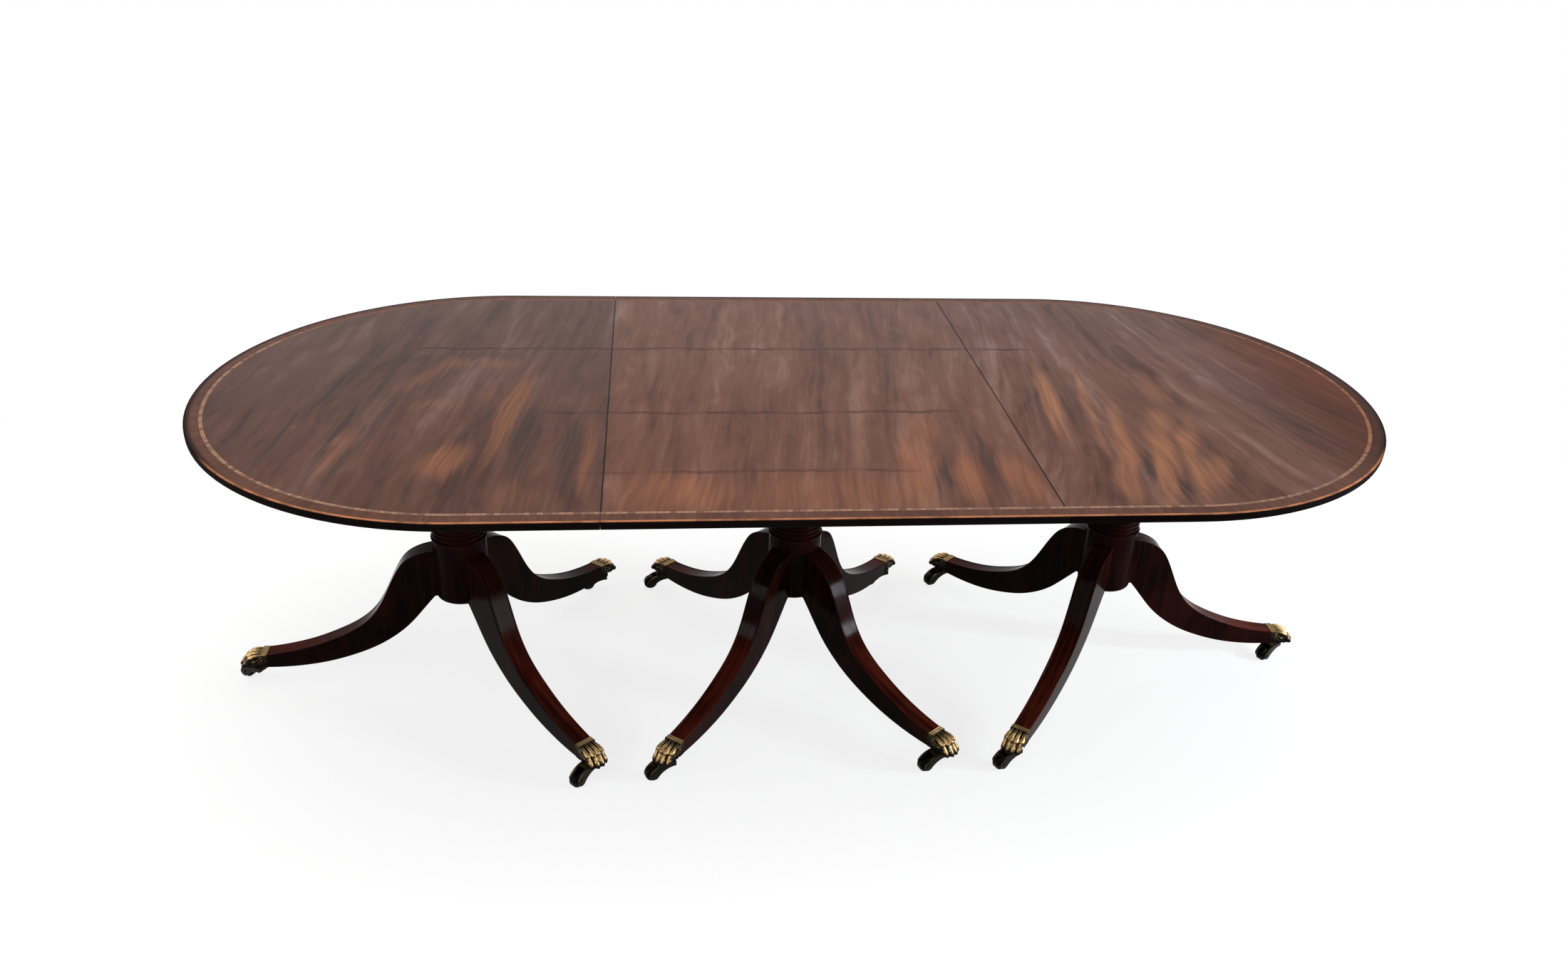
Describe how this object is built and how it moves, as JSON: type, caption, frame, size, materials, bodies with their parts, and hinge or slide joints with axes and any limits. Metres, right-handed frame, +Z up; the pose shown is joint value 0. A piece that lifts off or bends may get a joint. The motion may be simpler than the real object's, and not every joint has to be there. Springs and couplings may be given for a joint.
{
  "type": "dining table",
  "caption": "Long dining table with rounded ends on turned pedestals with sabre legs, paw caps and castors; its end sections draw apart from the middle.",
  "frame": {"origin": "on the floor under the middle of the table", "axes": "+X along the table's length, -Y to the front, +Z up"},
  "size_m": [2.5672, 1.184, 0.74],
  "materials": {
    "top_mahogany": "french polished, figured mahogany",
    "crossband_mahogany": "french polished, grain across the edge",
    "inlay_wood": "polished light wood inlay",
    "pedestal_mahogany": "dark polished mahogany",
    "bearer_wood": "bare planed wood",
    "paw_brass": "cast, patinated in the recesses",
    "castor_brass": "cast, dark with age",
    "wheel_brass": "turned, dark with age",
    "seam_brass": "flat, dulled",
    "plate_iron": "blackened iron",
    "screw_steel": "slotted, dulled steel"
  },
  "bodies": {
    "left_section": {"left_top": "top_mahogany", "left_crossband": "crossband_mahogany", "left_inlay": "inlay_wood", "left_bearers": "bearer_wood", "left_block": "bearer_wood", "left_column": "pedestal_mahogany", "left_base_plate": "plate_iron", "left_screws": "screw_steel", "left_paw_caps": "paw_brass", "left_outer_leg": "pedestal_mahogany", "left_front_leg": "pedestal_mahogany", "left_back_leg": "pedestal_mahogany", "left_seam_sockets": "seam_brass"},
    "centre_section": {"centre_top": "top_mahogany", "centre_crossband": "crossband_mahogany", "centre_inlay": "inlay_wood", "centre_bearers": "bearer_wood", "centre_block": "bearer_wood", "centre_column": "pedestal_mahogany", "centre_base_plate": "plate_iron", "centre_screws": "screw_steel", "centre_paw_caps": "paw_brass", "centre_front_left_leg": "pedestal_mahogany", "centre_front_right_leg": "pedestal_mahogany", "centre_back_left_leg": "pedestal_mahogany", "centre_back_right_leg": "pedestal_mahogany", "seam_forks": "seam_brass"},
    "right_section": {"right_top": "top_mahogany", "right_crossband": "crossband_mahogany", "right_inlay": "inlay_wood", "right_bearers": "bearer_wood", "right_block": "bearer_wood", "right_column": "pedestal_mahogany", "right_base_plate": "plate_iron", "right_screws": "screw_steel", "right_paw_caps": "paw_brass", "right_outer_leg": "pedestal_mahogany", "right_front_leg": "pedestal_mahogany", "right_back_leg": "pedestal_mahogany", "right_seam_sockets": "seam_brass"},
    "left_outer_castor": {"left_outer_castor_fork": "castor_brass"},
    "left_outer_wheel": {"left_outer_castor_wheel": "wheel_brass"},
    "left_front_castor": {"left_front_castor_fork": "castor_brass"},
    "left_front_wheel": {"left_front_castor_wheel": "wheel_brass"},
    "left_back_castor": {"left_back_castor_fork": "castor_brass"},
    "left_back_wheel": {"left_back_castor_wheel": "wheel_brass"},
    "centre_front_left_castor": {"centre_front_left_castor_fork": "castor_brass"},
    "centre_front_left_wheel": {"centre_front_left_castor_wheel": "wheel_brass"},
    "centre_front_right_castor": {"centre_front_right_castor_fork": "castor_brass"},
    "centre_front_right_wheel": {"centre_front_right_castor_wheel": "wheel_brass"},
    "centre_back_left_castor": {"centre_back_left_castor_fork": "castor_brass"},
    "centre_back_left_wheel": {"centre_back_left_castor_wheel": "wheel_brass"},
    "centre_back_right_castor": {"centre_back_right_castor_fork": "castor_brass"},
    "centre_back_right_wheel": {"centre_back_right_castor_wheel": "wheel_brass"},
    "right_outer_castor": {"right_outer_castor_fork": "castor_brass"},
    "right_outer_wheel": {"right_outer_castor_wheel": "wheel_brass"},
    "right_front_castor": {"right_front_castor_fork": "castor_brass"},
    "right_front_wheel": {"right_front_castor_wheel": "wheel_brass"},
    "right_back_castor": {"right_back_castor_fork": "castor_brass"},
    "right_back_wheel": {"right_back_castor_wheel": "wheel_brass"}
  },
  "joints": [
    {"name": "left_section_draw", "type": "slide", "parent": "centre_section", "child": "left_section", "axis": [-1, 0, 0], "range_m": [0, 0.45]},
    {"name": "right_section_draw", "type": "slide", "parent": "centre_section", "child": "right_section", "axis": [1, 0, 0], "range_m": [0, 0.45]},
    {"name": "left_outer_swivel", "type": "hinge", "parent": "left_section", "child": "left_outer_castor", "pos_m": [-1.237, 0, 0.042], "axis": [0, 0, 1], "continuous": true},
    {"name": "left_outer_roll", "type": "hinge", "parent": "left_outer_castor", "child": "left_outer_wheel", "pos_m": [-1.27077, 0.0195, 0.017], "axis": [-0.5, -0.866, 0], "continuous": true},
    {"name": "left_front_swivel", "type": "hinge", "parent": "left_section", "child": "left_front_castor", "pos_m": [-0.46148, -0.37824, 0.042], "axis": [0, 0, 1], "continuous": true},
    {"name": "left_front_roll", "type": "hinge", "parent": "left_front_castor", "child": "left_front_wheel", "pos_m": [-0.48857, -0.4063, 0.017], "axis": [0.7193, -0.6947, 0], "continuous": true},
    {"name": "left_back_swivel", "type": "hinge", "parent": "left_section", "child": "left_back_castor", "pos_m": [-0.46148, 0.37824, 0.042], "axis": [0, 0, 1], "continuous": true},
    {"name": "left_back_roll", "type": "hinge", "parent": "left_back_castor", "child": "left_back_wheel", "pos_m": [-0.49989, 0.37147, 0.017], "axis": [0.1736, -0.9848, 0], "continuous": true},
    {"name": "centre_front_left_swivel", "type": "hinge", "parent": "centre_section", "child": "centre_front_left_castor", "pos_m": [-0.29552, -0.37824, 0.042], "axis": [0, 0, 1], "continuous": true},
    {"name": "centre_front_left_roll", "type": "hinge", "parent": "centre_front_left_castor", "child": "centre_front_left_wheel", "pos_m": [-0.33168, -0.39286, 0.017], "axis": [0.3746, -0.9272, 0], "continuous": true},
    {"name": "centre_front_right_swivel", "type": "hinge", "parent": "centre_section", "child": "centre_front_right_castor", "pos_m": [0.29552, -0.37824, 0.042], "axis": [0, 0, 1], "continuous": true},
    {"name": "centre_front_right_roll", "type": "hinge", "parent": "centre_front_right_castor", "child": "centre_front_right_wheel", "pos_m": [0.25962, -0.39348, 0.017], "axis": [0.3907, -0.9205, 0], "continuous": true},
    {"name": "centre_back_left_swivel", "type": "hinge", "parent": "centre_section", "child": "centre_back_left_castor", "pos_m": [-0.29552, 0.37824, 0.042], "axis": [0, 0, 1], "continuous": true},
    {"name": "centre_back_left_roll", "type": "hinge", "parent": "centre_back_left_castor", "child": "centre_back_left_wheel", "pos_m": [-0.33414, 0.37282, 0.017], "axis": [0.1392, -0.9903, 0], "continuous": true},
    {"name": "centre_back_right_swivel", "type": "hinge", "parent": "centre_section", "child": "centre_back_right_castor", "pos_m": [0.29552, 0.37824, 0.042], "axis": [0, 0, 1], "continuous": true},
    {"name": "centre_back_right_roll", "type": "hinge", "parent": "centre_back_right_castor", "child": "centre_back_right_wheel", "pos_m": [0.25803, 0.3675, 0.017], "axis": [0.2756, -0.9613, 0], "continuous": true},
    {"name": "right_outer_swivel", "type": "hinge", "parent": "right_section", "child": "right_outer_castor", "pos_m": [1.237, 0, 0.042], "axis": [0, 0, 1], "continuous": true},
    {"name": "right_outer_roll", "type": "hinge", "parent": "right_outer_castor", "child": "right_outer_wheel", "pos_m": [1.20357, -0.02009, 0.017], "axis": [0.515, -0.8572, 0], "continuous": true},
    {"name": "right_front_swivel", "type": "hinge", "parent": "right_section", "child": "right_front_castor", "pos_m": [0.46148, -0.37824, 0.042], "axis": [0, 0, 1], "continuous": true},
    {"name": "right_front_roll", "type": "hinge", "parent": "right_front_castor", "child": "right_front_wheel", "pos_m": [0.42673, -0.39595, 0.017], "axis": [0.454, -0.891, 0], "continuous": true},
    {"name": "right_back_swivel", "type": "hinge", "parent": "right_section", "child": "right_back_castor", "pos_m": [0.46148, 0.37824, 0.042], "axis": [0, 0, 1], "continuous": true},
    {"name": "right_back_roll", "type": "hinge", "parent": "right_back_castor", "child": "right_back_wheel", "pos_m": [0.42585, 0.36238, 0.017], "axis": [0.4067, -0.9135, 0], "continuous": true}
  ]
}
